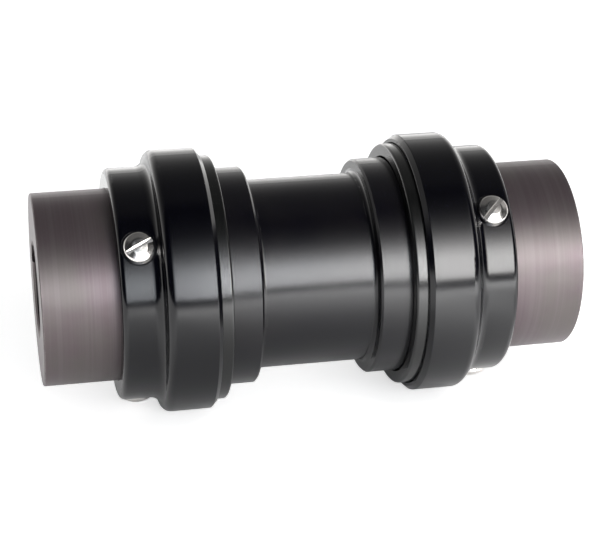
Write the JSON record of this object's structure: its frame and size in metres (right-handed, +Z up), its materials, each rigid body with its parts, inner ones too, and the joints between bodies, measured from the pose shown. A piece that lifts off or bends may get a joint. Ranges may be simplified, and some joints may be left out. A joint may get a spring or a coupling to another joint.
{
  "type": "flexible spacer shaft coupling",
  "caption": "Flexible spacer shaft coupling: keyed jaw hubs, elastomer wraps held by screwed slide-back collars, and a jaw-flanged centre tube.",
  "frame": {"origin": "middle of the spacer tube, on the shaft axis", "axes": "+X along the shaft axis towards the right-hand hub, +Z up; the first screw of each collar is on the -Y side, above the middle"},
  "size_m": [0.284, 0.1392, 0.1393],
  "materials": {
    "hub_iron": "satin turned, warm purple-grey oxide",
    "collar_black": "gloss black",
    "spacer_black": "semi-gloss black over turned marks",
    "element_rubber": "moulded, slightly rough",
    "screw_zinc": "bright zinc plate",
    "set_screw_black": "black oxide"
  },
  "bodies": {
    "hub_left": {"hub_left": "hub_iron"},
    "element_left": {"element_left": "element_rubber"},
    "spacer": {"spacer_tube": "spacer_black", "spacer_flange_left": "spacer_black", "spacer_flange_right": "spacer_black"},
    "element_right": {"element_right": "element_rubber"},
    "hub_right": {"hub_right": "hub_iron"},
    "collar_left": {"collar_left": "collar_black"},
    "collar_right": {"collar_right": "collar_black"},
    "collar_screw_left_1": {"collar_screw_left_1": "screw_zinc"},
    "collar_screw_left_2": {"collar_screw_left_2": "screw_zinc"},
    "collar_screw_left_3": {"collar_screw_left_3": "screw_zinc"},
    "set_screw_left_keyway": {"set_screw_left_keyway": "set_screw_black"},
    "set_screw_left_side": {"set_screw_left_side": "set_screw_black"},
    "collar_screw_right_1": {"collar_screw_right_1": "screw_zinc"},
    "collar_screw_right_2": {"collar_screw_right_2": "screw_zinc"},
    "collar_screw_right_3": {"collar_screw_right_3": "screw_zinc"},
    "set_screw_right_keyway": {"set_screw_right_keyway": "set_screw_black"},
    "set_screw_right_side": {"set_screw_right_side": "set_screw_black"}
  },
  "joints": [
    {"name": "left_wind_up", "type": "hinge", "parent": "hub_left", "child": "element_left", "pos_m": [-0.059, 0, 0], "axis": [1, 0, 0], "range_deg": [-2, 2], "stiffness_Nm_per_rad": 4000, "deforming": ["element_left"]},
    {"name": "left_angular_flex", "type": "hinge", "parent": "element_left", "child": "spacer", "pos_m": [-0.059, 0, 0], "axis": [0, 1, 0], "range_deg": [-1, 1], "stiffness_Nm_per_rad": 2500},
    {"name": "right_angular_flex", "type": "hinge", "parent": "spacer", "child": "element_right", "pos_m": [0.059, 0, 0], "axis": [0, 1, 0], "range_deg": [-1, 1], "stiffness_Nm_per_rad": 2500},
    {"name": "right_wind_up", "type": "hinge", "parent": "element_right", "child": "hub_right", "pos_m": [0.059, 0, 0], "axis": [1, 0, 0], "range_deg": [-2, 2], "stiffness_Nm_per_rad": 4000, "deforming": ["element_right"]},
    {"name": "left_collar_slide", "type": "slide", "parent": "hub_left", "child": "collar_left", "axis": [-1, 0, 0], "range_m": [0, 0.024]},
    {"name": "collar_screw_left_1_back_out", "type": "slide", "parent": "collar_left", "child": "collar_screw_left_1", "axis": [0, -0.7859, 0.6184], "range_m": [0, 0.01]},
    {"name": "collar_screw_left_2_back_out", "type": "slide", "parent": "collar_left", "child": "collar_screw_left_2", "axis": [0, 0.9285, 0.3714], "range_m": [0, 0.01]},
    {"name": "collar_screw_left_3_back_out", "type": "slide", "parent": "collar_left", "child": "collar_screw_left_3", "axis": [0, -0.1426, -0.9898], "range_m": [0, 0.01]},
    {"name": "set_screw_left_keyway_back_out", "type": "slide", "parent": "hub_left", "child": "set_screw_left_keyway", "axis": [0, 0.866, 0.5], "range_m": [0, 0.012]},
    {"name": "set_screw_left_side_back_out", "type": "slide", "parent": "hub_left", "child": "set_screw_left_side", "axis": [0, 0.5, -0.866], "range_m": [0, 0.012]},
    {"name": "right_collar_slide", "type": "slide", "parent": "hub_right", "child": "collar_right", "axis": [1, 0, 0], "range_m": [0, 0.024]},
    {"name": "collar_screw_right_1_back_out", "type": "slide", "parent": "collar_right", "child": "collar_screw_right_1", "axis": [0, -0.7157, 0.6984], "range_m": [0, 0.01]},
    {"name": "collar_screw_right_2_back_out", "type": "slide", "parent": "collar_right", "child": "collar_screw_right_2", "axis": [0, 0.9627, 0.2706], "range_m": [0, 0.01]},
    {"name": "collar_screw_right_3_back_out", "type": "slide", "parent": "collar_right", "child": "collar_screw_right_3", "axis": [0, -0.247, -0.969], "range_m": [0, 0.01]},
    {"name": "set_screw_right_keyway_back_out", "type": "slide", "parent": "hub_right", "child": "set_screw_right_keyway", "axis": [0, 0.866, 0.5], "range_m": [0, 0.012]},
    {"name": "set_screw_right_side_back_out", "type": "slide", "parent": "hub_right", "child": "set_screw_right_side", "axis": [0, 0.5, -0.866], "range_m": [0, 0.012]}
  ]
}
